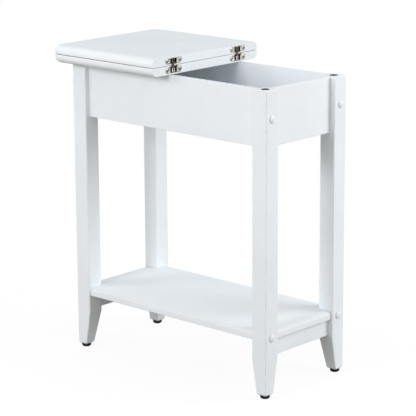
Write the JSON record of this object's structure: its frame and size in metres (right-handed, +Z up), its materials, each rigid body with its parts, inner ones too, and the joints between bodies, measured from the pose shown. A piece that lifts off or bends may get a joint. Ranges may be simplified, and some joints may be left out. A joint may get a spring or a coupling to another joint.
{
  "type": "flip top end table",
  "caption": "Narrow end table with a lower shelf and a storage box whose top is hinged across the middle, so one half folds over onto the other.",
  "frame": {"origin": "floor level under the middle of the bounding box in the stored pose, with the hinged half folded over onto the fixed half", "axes": "+Z up, +X along the long side from the fixed half towards the open end of the box, +Y from front to back"},
  "size_m": [0.5388, 0.3, 0.6278],
  "materials": {
    "white_lacquer": "satin sprayed lacquer on wood",
    "beech": "plain turned dowel",
    "white_plastic": "moulded",
    "black_plastic": "moulded",
    "brown_felt": "pressed felt",
    "nickel": "satin nickel plate on die casting",
    "zinc_steel": "zinc plate"
  },
  "bodies": {
    "table": {"leg_front_left": "white_lacquer", "leg_front_right": "white_lacquer", "leg_back_left": "white_lacquer", "leg_back_right": "white_lacquer", "front_apron": "white_lacquer", "back_apron": "white_lacquer", "left_apron": "white_lacquer", "right_apron": "white_lacquer", "left_lower_rail": "white_lacquer", "right_lower_rail": "white_lacquer", "box_floor": "white_lacquer", "shelf": "white_lacquer", "fixed_top": "white_lacquer", "front_cleat": "white_lacquer", "back_cleat": "white_lacquer", "apron_dowels": "beech", "rail_dowels": "beech", "bolt_caps": "white_plastic", "foot_glides": "black_plastic", "felt_bumpers": "brown_felt", "hinge_cup_fixed_front": "nickel", "hinge_cup_fixed_back": "nickel", "hinge_screws_fixed": "nickel", "apron_bolts": "zinc_steel", "shelf_bolts": "zinc_steel", "apron_barrel_nuts": "zinc_steel", "shelf_barrel_nuts": "zinc_steel", "cleat_apron_screws": "zinc_steel", "cleat_top_screws": "zinc_steel", "glide_nails": "zinc_steel"},
    "flap": {"flip_top": "white_lacquer", "hinge_cup_flip_front": "nickel", "hinge_cup_flip_back": "nickel", "hinge_screws_flip": "nickel"},
    "fixed_links": {"hinge_links_fixed": "nickel"},
    "flip_links": {"hinge_links_flip": "nickel"}
  },
  "joints": [
    {"name": "flap_fold", "type": "hinge", "parent": "table", "child": "flap", "pos_m": [0.0126, 0, 0.6104], "axis": [0, 1, 0], "range_deg": [0, 180]},
    {"name": "fixed_link_turn", "type": "hinge", "parent": "table", "child": "fixed_links", "pos_m": [0.0126, 0, 0.6104], "axis": [0, 1, 0], "range_deg": [0, 36]},
    {"name": "flip_link_turn", "type": "hinge", "parent": "flap", "child": "flip_links", "pos_m": [0.0126, 0, 0.6104], "axis": [0, 1, 0], "range_deg": [-36, 0]}
  ],
  "couplings": [
    {"joint": "fixed_link_turn", "follows": "flap_fold", "ratio": 0.1944},
    {"joint": "flip_link_turn", "follows": "flap_fold", "ratio": -0.1944}
  ]
}
